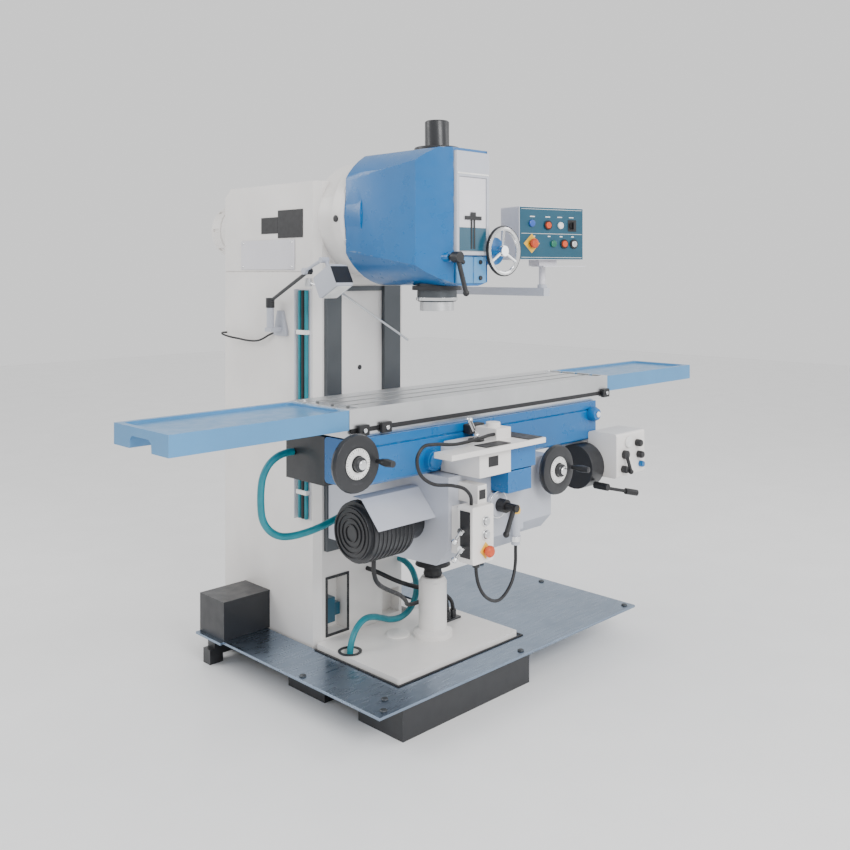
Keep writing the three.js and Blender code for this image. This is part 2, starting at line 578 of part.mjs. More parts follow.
// ---- Work lamp on the column's side, and the coolant nozzle ---------------------------------
function addLamp() {
  const { x, y, z } = LAMP;
  const side = -COLUMN.half - FIT;
  addPiece("lamp_bracket", join(
    prism("x", [[y - 62, 1338], [y + 22, 1338], [y + 22, 1356], [y - 2, 1440], [y - 34, 1440],
      [y - 62, 1356]],
      [side - 12, side]),
    block([x - 20, side - 11], [y - 34, y + 10], [1356, 1372]),
    rod("z", 15, [1356, z - 26], [x, y], 16),
  ), grey());
  const elbow = [x - 34, 372, 1600];
  addPiece("lamp_lower_arm", join(
    rod("z", 18, [z - 26 + FIT, z + 14], [x, y], 16),
    bar([x, y, z], elbow, 7, 10),
    rod("x", 13, [elbow[0] - 12, elbow[0] + 12], [elbow[1], elbow[2]], 14),
  ), black());
  const tip = [elbow[0], 268, 1642];
  const hood = prism("x", rounded([-56, 56], [-44, 44], 10), [-40, 40]).rotate([-28, 0, 0]);
  addPiece("work_lamp", join(
    rod("x", 13, [elbow[0] - 26, elbow[0] - 12 - FIT], [elbow[1], elbow[2]], 14),
    bar([elbow[0] - 19, elbow[1], elbow[2]], [tip[0] - 19, tip[1], tip[2]], 6, 10),
    rod("x", 11, [tip[0] - 26, tip[0] + 8], [tip[1], tip[2]], 14),
    bar([tip[0], tip[1], tip[2]], [tip[0], 236, 1578], 7, 10),
    hood.translate([tip[0], 226, 1562]),
  ), grey());

  const valve = [-262, 445];
  const elbow2 = [-262, 240, 1516];
  addPiece("coolant_nozzle", join(
    rod("z", 14, [1540, 1572], valve, 14),
    bar([...valve, 1556], elbow2, 4, 8),
    bar(elbow2, [-150, 0, 1348], 4, 8),
    ball(elbow2, 5, 8),
  ), steel());
}

// ---- Hoses and cables: each list is a route by hand, in millimetres -------------------------
const ROUTES = {
  coolant_return_hose: {
    diameter: 25, steps: 18, finish: teal,
    points: [[-560.6, 150, 975], [-584, 150, 975], [-622, 152, 967], [-655, 155, 946],
      [-676, 159, 913], [-684, 163, 875], [-684, 166, 800], [-675, 167, 754], [-649, 167, 715],
      [-610, 165, 689], [-564, 160, 680], [-480, 144, 688], [-390, 122, 716], [-310, 106, 746],
      [-255, 100, 759], [-228, 100, 760], [-200.8, 100, 760]],
  },
  drain_hose: {
    diameter: 25, steps: 18, finish: teal,
    points: [[200, 418.8, 388], [200, 410, 388], [200, 376, 380], [200, 343, 359], [200, 322, 326],
      [200, 314, 288], [192, 314, 250], [171, 314, 217], [138, 314, 196], [100, 314, 188],
      [48, 312, 196], [-3, 306, 216], [-55, 297, 236], [-106, 286, 245], [-144, 277, 237],
      [-177, 268, 216], [-198, 263, 183], [-206, 262, 145], [-206, 262, 130]],
  },
  base_power_hose: {
    diameter: 18, steps: 18, finish: black,
    points: [[20, 419, 385], [20, 404, 385], [22, 378, 383], [30, 353, 377], [44, 330, 367],
      [64, 311, 354], [88, 296, 341], [116, 283, 328], [147, 272, 315], [178, 262, 303],
      [215, 250, 289.5], [254, 242, 274], [278, 237.5, 258], [294, 235.5, 234], [300, 235, 205],
      [300, 235, 187]],
  },
  motor_cable: {
    diameter: 16, steps: 30, finish: black,
    points: [[-380, -66, 612.4], [-380, -66, 590], [-376, -63, 562], [-360, -54, 532],
      [-330, -37, 505], [-290, -13, 480], [-200, 38, 432], [-100, 96, 380], [-10, 160, 322],
      [60, 222, 276], [130, 254, 254], [190, 263, 252], [240, 264, 258], [270, 261, 260],
      [293, 255, 255], [315, 246, 240], [331, 238, 217], [336, 235, 192], [336, 235, 187]],
  },
  pendant_cable: {
    diameter: 12, steps: 22, finish: black,
    points: [[130, -275, 599.2], [130, -275, 574], [126, -277, 530], [102, -284, 480],
      [60, -292, 447], [5, -304, 434], [-50, -316, 448], [-105, -326, 485], [-138, -332, 530],
      [-150, -333, 574], [-151, -333, 611.2]],
  },
  shelf_cable: {
    diameter: 12, steps: 30, finish: black,
    points: [[-7, -290, 1021], [-30, -290, 1021], [-110, -302, 1018], [-220, -302, 1014],
      [-320, -300, 1026], [-372, -300, 1024], [-400, -300, 990], [-387, -300, 938],
      [-327, -300, 896], [-240, -306, 878], [-196, -322, 862], [-178, -333, 836],
      [-176, -334, 806.8]],
  },
  lamp_cable: {
    diameter: 8, steps: 22, finish: black,
    points: [[-241, 1046, 1334], [-247, 1046, 1334], [-260, 1043.4, 1334], [-271, 1036, 1333],
      [-278.4, 1025, 1331], [-281, 1012, 1328], [-276, 970, 1320], [-262, 930, 1314],
      [-262, 857, 1309], [-262, 800, 1310], [-260, 772, 1315], [-257, 745, 1325],
      [-253, 723, 1336], [-248, 705, 1344], [-246.8, 696, 1346], [-246.5, 687.8, 1347]],
  },
};

function addCords() {
  for (const [name, { diameter, steps, finish: colour, points }] of Object.entries(ROUTES)) {
    addPiece(name, hose(points, diameter, steps), colour());
  }
}

addBase();
addColumn();
addHead();
addKnee();
addSaddle();
addTable();
addPanel();
addLamp();
addCords();

export default machine;
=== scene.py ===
"""Vertical milling machine: materials, details, cords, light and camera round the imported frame."""
import math

import bmesh
import bpy
from mathutils import Matrix, Vector


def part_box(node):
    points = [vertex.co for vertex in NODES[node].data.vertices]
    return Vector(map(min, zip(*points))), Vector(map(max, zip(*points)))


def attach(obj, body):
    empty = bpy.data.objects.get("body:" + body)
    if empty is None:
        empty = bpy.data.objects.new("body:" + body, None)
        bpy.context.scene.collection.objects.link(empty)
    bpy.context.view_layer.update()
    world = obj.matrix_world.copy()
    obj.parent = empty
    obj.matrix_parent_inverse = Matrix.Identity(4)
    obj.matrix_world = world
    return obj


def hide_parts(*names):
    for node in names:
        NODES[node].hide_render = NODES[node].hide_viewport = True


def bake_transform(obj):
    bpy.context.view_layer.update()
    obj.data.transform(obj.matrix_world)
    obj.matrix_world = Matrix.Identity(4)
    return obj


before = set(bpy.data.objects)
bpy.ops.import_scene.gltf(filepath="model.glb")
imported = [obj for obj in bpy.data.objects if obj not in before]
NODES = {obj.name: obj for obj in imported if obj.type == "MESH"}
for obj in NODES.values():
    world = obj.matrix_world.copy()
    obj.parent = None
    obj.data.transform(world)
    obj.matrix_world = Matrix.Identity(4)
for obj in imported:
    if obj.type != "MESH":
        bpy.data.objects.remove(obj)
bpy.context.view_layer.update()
SIDES = 48
GAP = 0.0003  # between a detail and the face behind it
PRINT = 0.0005  # thickness of a printed mark


# ---- Camera, floor and light ---------------------------------------------------------------
def add_camera():
    data = bpy.data.cameras.new("camera")
    data.lens = 40.66
    data.shift_y = -0.181
    camera = bpy.data.objects.new("camera", data)
    camera.location = (-2.59, -2.526, 1.6)
    camera.rotation_euler = (math.radians(90), 0, math.radians(-45))
    bpy.context.scene.collection.objects.link(camera)
    bpy.context.scene.camera = camera


def add_light(name, place, size, power):
    data = bpy.data.lights.new(name, "AREA")
    data.size = size
    data.energy = power
    lamp = bpy.data.objects.new(name, data)
    lamp.location = place
    aim = Vector((0, 0.2, 1.0)) - Vector(place)
    lamp.rotation_euler = aim.to_track_quat("-Z", "Y").to_euler()
    bpy.context.scene.collection.objects.link(lamp)


def add_studio():
    world = bpy.data.worlds.new("studio")
    world.use_nodes = True
    sky = world.node_tree.nodes["Background"]
    sky.inputs["Color"].default_value = (1.0, 1.0, 1.0, 1)
    sky.inputs["Strength"].default_value = 1.05
    bpy.context.scene.world = world
    add_light("key", (-1.2, -4.8, 3.6), 2.4, 240)
    add_light("fill", (4.5, -3.0, 3.0), 3.0, 60)
    add_light("rim", (-3.5, 3.5, 3.6), 2.4, 90)
    mesh = bpy.data.meshes.new("floor")
    reach = 14
    mesh.from_pydata([(-reach, -reach, 0), (reach, -reach, 0), (reach, reach, 0), (-reach, reach, 0)], [],
                     [(0, 1, 2, 3)])
    floor = bpy.data.objects.new("floor", mesh)
    bpy.context.scene.collection.objects.link(floor)
    mesh.materials.append(paint("floor_paint", (0.93, 0.93, 0.93), 0.6, mottle=0.02))


# ---- Materials -----------------------------------------------------------------------------
MADE = {}


def shader(name, roughness, metallic=0.0, coat=0.0):
    """A material with its Principled shader, and its tree and shader to add detail to."""
    material = bpy.data.materials.new(name)
    material.use_nodes = True
    tree = material.node_tree
    surface = tree.nodes["Principled BSDF"]
    surface.inputs["Roughness"].default_value = roughness
    surface.inputs["Metallic"].default_value = metallic
    surface.inputs["Coat Weight"].default_value = coat
    surface.inputs["Coat Roughness"].default_value = 0.18
    return material, tree, surface


def noise(tree, scale, stretch=(1, 1, 1), detail=4.0):
    place = tree.nodes.new("ShaderNodeTexCoord")
    mapping = tree.nodes.new("ShaderNodeMapping")
    mapping.inputs["Scale"].default_value = stretch
    texture = tree.nodes.new("ShaderNodeTexNoise")
    texture.inputs["Scale"].default_value = scale
    texture.inputs["Detail"].default_value = detail
    tree.links.new(place.outputs["Object"], mapping.inputs["Vector"])
    tree.links.new(mapping.outputs["Vector"], texture.inputs["Vector"])
    return texture.outputs["Fac"]


def ramp(tree, value, low, high, dark, light):
    node = tree.nodes.new("ShaderNodeMapRange")
    node.inputs["From Min"].default_value = low
    node.inputs["From Max"].default_value = high
    node.inputs["To Min"].default_value = dark
    node.inputs["To Max"].default_value = light
    tree.links.new(value, node.inputs["Value"])
    return node.outputs["Result"]


def blend_colours(tree, amount, first, second):
    node = tree.nodes.new("ShaderNodeMix")
    node.data_type = "RGBA"
    tree.links.new(amount, node.inputs["Factor"])
    for socket, colour in ((node.inputs["A"], first), (node.inputs["B"], second)):
        if isinstance(colour, tuple):
            socket.default_value = (*colour, 1)
        else:
            tree.links.new(colour, socket)
    return node.outputs["Result"]


def bump(tree, surface, height, distance, strength=0.4):
    node = tree.nodes.new("ShaderNodeBump")
    node.inputs["Distance"].default_value = distance
    node.inputs["Strength"].default_value = strength
    tree.links.new(height, node.inputs["Height"])
    tree.links.new(node.outputs["Normal"], surface.inputs["Normal"])


def edge_facing(tree):
    """How well a face agrees with its rounded normal: 1 on flats, less close to an edge."""
    rounded = tree.nodes.new("ShaderNodeBevel")
    rounded.samples = 4
    rounded.inputs["Radius"].default_value = 0.004
    agree = tree.nodes.new("ShaderNodeVectorMath")
    agree.operation = "DOT_PRODUCT"
    tree.links.new(rounded.outputs["Normal"], agree.inputs[0])
    tree.links.new(tree.nodes.new("ShaderNodeNewGeometry").outputs["True Normal"], agree.inputs[1])
    return agree.outputs["Value"]


def shade(colour, factor):
    return tuple(min(1.0, c * factor) for c in colour)


def paint(name, colour, roughness=0.35, mottle=0.08, wear=None):
    """Enamel: broad uneven tone, a fine orange-peel surface, and bare metal on worn edges."""
    if name in MADE:
        return MADE[name]
    material, tree, surface = shader(name, roughness, coat=0.25)
    tone = ramp(tree, noise(tree, 3.5), 0.35, 0.7, 0.0, 1.0)
    base = blend_colours(tree, tone, shade(colour, 1 - mottle), shade(colour, 1 + mottle * 0.5))
    if wear:
        broken = tree.nodes.new("ShaderNodeMath")
        broken.operation = "MULTIPLY"
        tree.links.new(ramp(tree, edge_facing(tree), 0.97, 0.80, 0.0, 1.0), broken.inputs[0])
        tree.links.new(ramp(tree, noise(tree, 45), 0.50, 0.64, 0.0, 0.7), broken.inputs[1])
        base = blend_colours(tree, broken.outputs["Value"], base, wear)
    tree.links.new(base, surface.inputs["Base Color"])
    tree.links.new(ramp(tree, noise(tree, 22), 0.3, 0.7, roughness - 0.06, roughness + 0.1),
                   surface.inputs["Roughness"])
    bump(tree, surface, noise(tree, 260, detail=2), 0.0005)
    MADE[name] = material
    return material


def metal(name, colour, roughness=0.28, brush=(1, 1, 1), scale=90.0, depth=0.0002):
    """Machined metal: the tool marks run along the direction that brush leaves unstretched."""
    if name in MADE:
        return MADE[name]
    material, tree, surface = shader(name, roughness, metallic=1.0)
    marks = noise(tree, scale, brush, 6)
    base = blend_colours(tree, ramp(tree, noise(tree, 6), 0.3, 0.7, 0, 1), shade(colour, 0.86), colour)
    tree.links.new(base, surface.inputs["Base Color"])
    tree.links.new(ramp(tree, marks, 0.3, 0.7, roughness * 0.8, roughness * 1.5), surface.inputs["Roughness"])
    bump(tree, surface, marks, depth, 0.3)
    MADE[name] = material
    return material


def moulded(name, colour, roughness=0.45):
    """Plastic or rubber with a fine grain."""
    if name in MADE:
        return MADE[name]
    material, tree, surface = shader(name, roughness)
    tone = ramp(tree, noise(tree, 18), 0.3, 0.7, 0, 1)
    base = blend_colours(tree, tone, shade(colour, 0.82), shade(colour, 1.12))
    tree.links.new(base, surface.inputs["Base Color"])
    tree.links.new(ramp(tree, noise(tree, 60), 0.3, 0.7, roughness - 0.08, roughness + 0.1),
                   surface.inputs["Roughness"])
    bump(tree, surface, noise(tree, 500, detail=2), 0.0003)
    MADE[name] = material
    return material


def white_paint():
    return paint("white_paint", (0.80, 0.775, 0.75), wear=(0.42, 0.41, 0.40))


def grey_paint():
    return paint("grey_paint", (0.47, 0.49, 0.55), wear=(0.35, 0.35, 0.36))


# Pale lilac-grey: the control panel's own paint, also used as painted shade on the column's side cover.
def lilac_paint_and_shade():
    return paint("lilac_paint_and_shade", (0.66, 0.65, 0.69))


def blue_paint():
    return paint("blue_paint", (0.0, 0.125, 0.36), 0.3, wear=(0.30, 0.36, 0.44))


def pale_blue_paint():
    return paint("pale_blue_paint", (0.075, 0.26, 0.50), wear=(0.30, 0.40, 0.5))


def black_paint():
    return paint("black_paint", (0.012, 0.013, 0.016), 0.4, wear=(0.11, 0.11, 0.12))


def navy_paint():
    return paint("navy_paint", (0.006, 0.075, 0.125), 0.35)


def ground_steel():
    return metal("ground_steel", (0.74, 0.75, 0.76), 0.3, (2, 60, 60))


def dark_iron():
    return metal("dark_iron", (0.12, 0.13, 0.14), 0.42, (60, 60, 2))


def sheet_steel():
    return metal("sheet_steel", (0.27, 0.34, 0.44), 0.27, (1, 7, 7), 14, 0.0006)


def chrome():
    return metal("chrome", (0.88, 0.89, 0.9), 0.1, scale=30, depth=0.00005)


def black_plastic():
    return moulded("black_plastic", (0.014, 0.014, 0.016))


def white_plastic():
    return moulded("white_plastic", (0.82, 0.82, 0.80), 0.35)


def red_plastic():
    return moulded("red_plastic", (0.62, 0.075, 0.018), 0.3)


def yellow_plastic():
    return moulded("yellow_plastic", (0.85, 0.50, 0.04), 0.4)


def blue_lens():
    return moulded("blue_lens", (0.04, 0.12, 0.48), 0.2)


def green_lens():
    return moulded("green_lens", (0.02, 0.16, 0.10), 0.2)


def teal_rubber():
    return moulded("teal_rubber", (0.006, 0.20, 0.25), 0.38)


def black_rubber():
    return moulded("black_rubber", (0.010, 0.010, 0.012), 0.5)


NODE_LOOKS = {
    white_paint: ("base_casting", "column", "swivel_flange", "main_motor", "panel_arm_bracket", "pendant_box",
                  "operator_shelf", "feed_gearbox"),
    grey_paint: ("head_front_plate", "knee", "feed_motor_cover", "panel_arm", "lamp_bracket", "work_lamp"),
    lilac_paint_and_shade: ("control_panel",),
    blue_paint: ("head_housing", "knee_apron", "saddle", "table_lock_knob"),
    pale_blue_paint: ("left_tray", "right_tray"),
    black_paint: ("base_plinth", "hose_gland", "drawbar_cover", "feed_motor", "saddle_end_cover",
                  "feed_shaft_guard", "cross_handwheel", "table_handwheel", "lamp_lower_arm"),
    ground_steel: ("table", "spindle", "elevating_screw", "coolant_nozzle", "pendant_start_button",
                   "pendant_stop_button", "panel_coolant_button"),
    dark_iron: ("column_ways", "quill"),
    sheet_steel: ("chip_tray",),
    chrome: ("quill_handwheel", "feed_selector_lever_upper", "feed_selector_lever_lower", "table_feed_lever"),
    black_plastic: ("quill_clamp_lever", "elevation_crank", "gear_shift_lever", "rapid_feed_lever",
                    "panel_selector"),
    red_plastic: ("pendant_stop_mushroom", "panel_emergency_stop", "panel_start_button", "panel_jog_button"),
}
CAST = ("column", "knee", "head_housing", "base_casting", "base_plinth", "saddle", "feed_gearbox")


def soften(piece, width):
    """Rounded edges and even shading, as modifiers."""
    for face in piece.data.polygons:
        face.use_smooth = True
    weld = piece.modifiers.new("weld", "WELD")
    weld.merge_threshold = 0.00002
    bevel = piece.modifiers.new("bevel", "BEVEL")
    bevel.width = width
    bevel.segments = 2
    bevel.limit_method = "ANGLE"
    bevel.angle_limit = math.radians(35)
    bevel.use_clamp_overlap = True
    piece.modifiers.new("normals", "WEIGHTED_NORMAL").keep_sharp = True


def finish_nodes():
    for look, names in NODE_LOOKS.items():
        for name in names:
            node = NODES[name]
            node.data.materials.clear()
            node.data.materials.append(look())
            soften(node, 0.004 if name in CAST else 0.0012)


# ---- Piece builders ------------------------------------------------------------------------
def add_piece(name, shape, look, body, turn=None, edge=0.0008):
    """A bmesh as a named piece with rounded edges that rides on a body."""
    if turn is not None:
        bmesh.ops.transform(shape, matrix=turn, verts=shape.verts)
    bmesh.ops.recalc_face_normals(shape, faces=shape.faces)
    mesh = bpy.data.meshes.new(name)
    shape.to_mesh(mesh)
    shape.free()
    piece = bpy.data.objects.new(name, mesh)
    bpy.context.scene.collection.objects.link(piece)
    mesh.materials.append(look())
    soften(piece, edge)
    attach(piece, body)
    return piece


def put_box(shape, low, high):
    size = [b - a for a, b in zip(low, high)]
    middle = [(a + b) / 2 for a, b in zip(low, high)]
    matrix = Matrix.Translation(middle) @ Matrix.Diagonal((*size, 1))
    bmesh.ops.create_cube(shape, size=1, matrix=matrix)


def slabs(name, boxes, look, body, turn=None, edge=0.0008):
    shape = bmesh.new()
    for low, high in boxes:
        put_box(shape, low, high)
    return add_piece(name, shape, look, body, turn, edge)


AXIS_TURN = {
    "x": Matrix.Rotation(math.radians(90), 4, "Y"),
    "y": Matrix.Rotation(math.radians(-90), 4, "X"),
    "z": Matrix.Identity(4),
}


def put_turned(shape, place, axis, profile, closed=False, sides=SIDES):
    """Turns a profile of (radius, distance along the axis) about the axis through place."""
    matrix = Matrix.Translation(place) @ AXIS_TURN[axis]
    rings = []
    for radius, along in profile:
        if radius == 0:
            rings.append([shape.verts.new(matrix @ Vector((0, 0, along)))])
            continue
        ring = []
        for i in range(sides):
            angle = 2 * math.pi * i / sides
            point = Vector((radius * math.cos(angle), radius * math.sin(angle), along))
            ring.append(shape.verts.new(matrix @ point))
        rings.append(ring)
    pairs = list(zip(rings, rings[1:]))
    if closed:
        pairs.append((rings[-1], rings[0]))
    for first, second in pairs:
        for i in range(sides):
            j = (i + 1) % sides
            corners = [first[i % len(first)], first[j % len(first)], second[j % len(second)],
                       second[i % len(second)]]
            shape.faces.new(list(dict.fromkeys(corners)))


def turned(name, places, axis, profile, look, body, closed=False, turn=None, edge=0.0008):
    shape = bmesh.new()
    for place in places:
        put_turned(shape, place, axis, profile, closed)
    return add_piece(name, shape, look, body, turn, edge)


def knob(radius, depth):
    """A cap standing out along -Y."""
    return [(0, 0), (radius, 0), (radius, -depth * 0.7), (radius * 0.85, -depth), (0, -depth)]


def ring(inner, outer, start, end):
    return [(inner, start), (outer, start), (outer, end), (inner, end)]


def centre(node):
    low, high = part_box(node)
    return [(a + b) / 2 for a, b in zip(low, high)]


# ---- Cords ---------------------------------------------------------------------------------
# Each cord: diameter, length, body, body at its far end if another, look, slot, points in metres.
ROUTES = {
    "coolant_return_hose": (0.025, 0.83, "saddle", "knee", teal_rubber, "teal_hose", [
        (-0.5606, 0.15, 0.975), (-0.584, 0.15, 0.975), (-0.622, 0.152, 0.967),
        (-0.655, 0.155, 0.946), (-0.676, 0.159, 0.913), (-0.684, 0.163, 0.875),
        (-0.684, 0.166, 0.8), (-0.675, 0.167, 0.754), (-0.649, 0.167, 0.715), (-0.61, 0.165, 0.689),
        (-0.564, 0.16, 0.68), (-0.48, 0.144, 0.688), (-0.39, 0.122, 0.716), (-0.31, 0.106, 0.746),
        (-0.255, 0.1, 0.759), (-0.228, 0.1, 0.76), (-0.2008, 0.1, 0.76),
    ]),
    "drain_hose": (0.025, 0.71, "root", None, teal_rubber, "teal_hose", [
        (0.2, 0.4188, 0.388), (0.2, 0.41, 0.388), (0.2, 0.376, 0.38), (0.2, 0.343, 0.359),
        (0.2, 0.322, 0.326), (0.2, 0.314, 0.288), (0.192, 0.314, 0.25), (0.171, 0.314, 0.217),
        (0.138, 0.314, 0.196), (0.1, 0.314, 0.188), (0.048, 0.312, 0.196), (-0.003, 0.306, 0.216),
        (-0.055, 0.297, 0.236), (-0.106, 0.286, 0.245), (-0.144, 0.277, 0.237),
        (-0.177, 0.268, 0.216), (-0.198, 0.263, 0.183), (-0.206, 0.262, 0.145),
        (-0.206, 0.262, 0.13),
    ]),
    "base_power_hose": (0.018, 0.45, "root", None, black_rubber, "black_cable", [
        (0.02, 0.419, 0.385), (0.02, 0.404, 0.385), (0.022, 0.378, 0.383), (0.03, 0.353, 0.377),
        (0.044, 0.33, 0.367), (0.064, 0.311, 0.354), (0.088, 0.296, 0.341), (0.116, 0.283, 0.328),
        (0.147, 0.272, 0.315), (0.178, 0.262, 0.303), (0.215, 0.25, 0.2895), (0.254, 0.242, 0.274),
        (0.278, 0.2375, 0.258), (0.294, 0.2355, 0.234), (0.3, 0.235, 0.205), (0.3, 0.235, 0.187),
    ]),
    "motor_cable": (0.016, 0.99, "knee", "root", black_rubber, "black_cable", [
        (-0.38, -0.066, 0.6124), (-0.38, -0.066, 0.59), (-0.376, -0.063, 0.562),
        (-0.36, -0.054, 0.532), (-0.33, -0.037, 0.505), (-0.29, -0.013, 0.48), (-0.2, 0.038, 0.432),
        (-0.1, 0.096, 0.38), (-0.01, 0.16, 0.322), (0.06, 0.222, 0.276), (0.13, 0.254, 0.254),
        (0.19, 0.263, 0.252), (0.24, 0.264, 0.258), (0.27, 0.261, 0.26), (0.293, 0.255, 0.255),
        (0.315, 0.246, 0.24), (0.331, 0.238, 0.217), (0.336, 0.235, 0.192), (0.336, 0.235, 0.187),
    ]),
    "pendant_cable": (0.012, 0.50, "knee", None, black_rubber, "black_cable", [
        (0.13, -0.275, 0.5992), (0.13, -0.275, 0.574), (0.126, -0.277, 0.53), (0.102, -0.284, 0.48),
        (0.06, -0.292, 0.447), (0.005, -0.304, 0.434), (-0.05, -0.316, 0.448),
        (-0.105, -0.326, 0.485), (-0.138, -0.332, 0.53), (-0.15, -0.333, 0.574),
        (-0.151, -0.333, 0.6112),
    ]),
    "shelf_cable": (0.012, 0.74, "saddle", "knee", black_rubber, "black_cable", [
        (-0.007, -0.29, 1.021), (-0.03, -0.29, 1.021), (-0.11, -0.302, 1.018),
        (-0.22, -0.302, 1.014), (-0.32, -0.3, 1.026), (-0.372, -0.3, 1.024), (-0.4, -0.3, 0.99),
        (-0.387, -0.3, 0.938), (-0.327, -0.3, 0.896), (-0.24, -0.306, 0.878),
        (-0.196, -0.322, 0.862), (-0.178, -0.333, 0.836), (-0.176, -0.334, 0.8068),
    ]),
    "lamp_cable": (0.008, 0.40, "root", None, black_rubber, "black_cable", [
        (-0.241, 1.046, 1.334), (-0.247, 1.046, 1.334), (-0.26, 1.0434, 1.334),
        (-0.271, 1.036, 1.333), (-0.2784, 1.025, 1.331), (-0.281, 1.012, 1.328),
        (-0.276, 0.97, 1.32), (-0.262, 0.93, 1.314), (-0.262, 0.857, 1.309), (-0.262, 0.8, 1.31),
        (-0.26, 0.772, 1.315), (-0.257, 0.745, 1.325), (-0.253, 0.723, 1.336),
        (-0.248, 0.705, 1.344), (-0.2468, 0.696, 1.346), (-0.2465, 0.6878, 1.347),
    ]),
}


def smooth_route(points, steps=7):
    """Points along a centripetal Catmull-Rom curve through the given points."""
    route = [Vector(p) for p in points]
    route = [2 * route[0] - route[1], *route, 2 * route[-1] - route[-2]]
    line = []
    for a, b, c, d in zip(route, route[1:], route[2:], route[3:]):
        times = [0.0]
        for first, second in ((a, b), (b, c), (c, d)):
            times.append(times[-1] + math.sqrt((second - first).length))
        t0, t1, t2, t3 = times
        for i in range(steps):
            t = t1 + (t2 - t1) * i / steps
            p1 = a.lerp(b, (t - t0) / (t1 - t0))
            p2 = b.lerp(c, (t - t1) / (t2 - t1))
            p3 = c.lerp(d, (t - t2) / (t3 - t2))
            q1 = p1.lerp(p2, (t - t0) / (t2 - t0))
            q2 = p2.lerp(p3, (t - t1) / (t3 - t1))
            line.append(q1.lerp(q2, (t - t1) / (t2 - t1)))
    return [*line, route[-2]]


def tube(name, line, radius, look, sides=16):
    """A closed tube along a line, its rings carried along without twist."""
    shape = bmesh.new()
    ahead = (line[1] - line[0]).normalized()
    side = ahead.orthogonal().normalized()
    rings = []
    for i, point in enumerate(line):
        before, after = line[max(i - 1, 0)], line[min(i + 1, len(line) - 1)]
        ahead = (after - before).normalized()
        side = (side - ahead * side.dot(ahead)).normalized()
        up = ahead.cross(side)
        angles = [2 * math.pi * k / sides for k in range(sides)]
        spokes = [math.cos(a) * side + math.sin(a) * up for a in angles]
        rings.append([shape.verts.new(point + radius * spoke) for spoke in spokes])
    for first, second in zip(rings, rings[1:]):
        for k in range(sides):
            n = (k + 1) % sides
            shape.faces.new([first[k], first[n], second[n], second[k]])
    shape.faces.new(rings[0][::-1])
    shape.faces.new(rings[-1])
    bmesh.ops.recalc_face_normals(shape, faces=shape.faces)
    mesh = bpy.data.meshes.new(name)
    shape.to_mesh(mesh)
    shape.free()
    for face in mesh.polygons:
        face.use_smooth = len(face.vertices) == 4
    mesh.materials.append(look())
    piece = bpy.data.objects.new(name, mesh)
    bpy.context.scene.collection.objects.link(piece)
    return piece


def add_cord(name, diameter, length, body, other_end, look, slot, points):
    line = smooth_route(points)
    piece = tube(name + "_run", line, diameter / 2, look)
    if other_end:
        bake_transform(piece)
    else:
        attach(piece, body)
    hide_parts(name)


def add_cords():
    for name, details in ROUTES.items():
        add_cord(name, *details)


# ---- Details of the machine ------------------------------------------------------------------
def handwheel_dials():
    for node, body in (("cross_handwheel", "cross_wheel"), ("table_handwheel", "table_wheel")):
        x, _, z = centre(node)
        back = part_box(node)[1][1]
        dial_depth = 0.0345
        face = back - dial_depth
        turned(node + "_dial", [(x, face, z)], "y", ring(0.027, 0.050, 0, -0.0025), white_plastic, body,
               closed=True)
        shape = bmesh.new()
        for i in range(36):
            angle = 2 * math.pi * i / 36
            inner = 0.040 if i % 3 == 0 else 0.044
            mark = bmesh.new()
            put_box(mark, (inner, -0.0032, -0.0005), (0.049, -0.0022, 0.0005))
            place = Matrix.Translation((x, face, z)) @ Matrix.Rotation(angle, 4, "Y")
            bmesh.ops.transform(mark, matrix=place, verts=mark.verts)
            scratch = bpy.data.meshes.new("mark")
            mark.to_mesh(scratch)
            mark.free()
            shape.from_mesh(scratch)
            bpy.data.meshes.remove(scratch)
        add_piece(node + "_marks", shape, black_plastic, body, edge=0.0001)
        turned(node + "_cap", [(x, back - 0.056, z)], "y", knob(0.016, 0.007), chrome, body)
    x, _, z = centre("quill_handwheel")
    rim_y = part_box("quill_handwheel")[0][1] + 0.009
    turned("quill_wheel_grip", [(x, rim_y, z)], "y", ring(0.086, 0.0945, 0.006, -0.006), black_plastic,
           "quill_wheel", closed=True, edge=0.002)


def table_details():
    (x0, front, _), (x1, _, _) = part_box("table")
    slabs("trip_rail", [((x0 + 0.01, front + 0.001, 1.0705), (x1 - 0.01, front + 0.0115, 1.0855))],
          black_plastic, "table")
    dogs = [x0 + 0.03, x0 + 0.13, x1 - 0.05]
    slabs("trip_dogs", [((x, front - 0.016, 1.060), (x + 0.045, front - GAP, 1.096)) for x in dogs],
          black_plastic, "table", edge=0.003)
    turned("trip_dog_screws", [(x + 0.022, front - 0.016, 1.078) for x in dogs], "y", knob(0.008, 0.006),
           chrome, "table")
    slabs("stop_bracket", [((-0.03, -0.196, 1.012), (0.05, -0.1605, 1.046))], black_plastic, "saddle",
          edge=0.004)


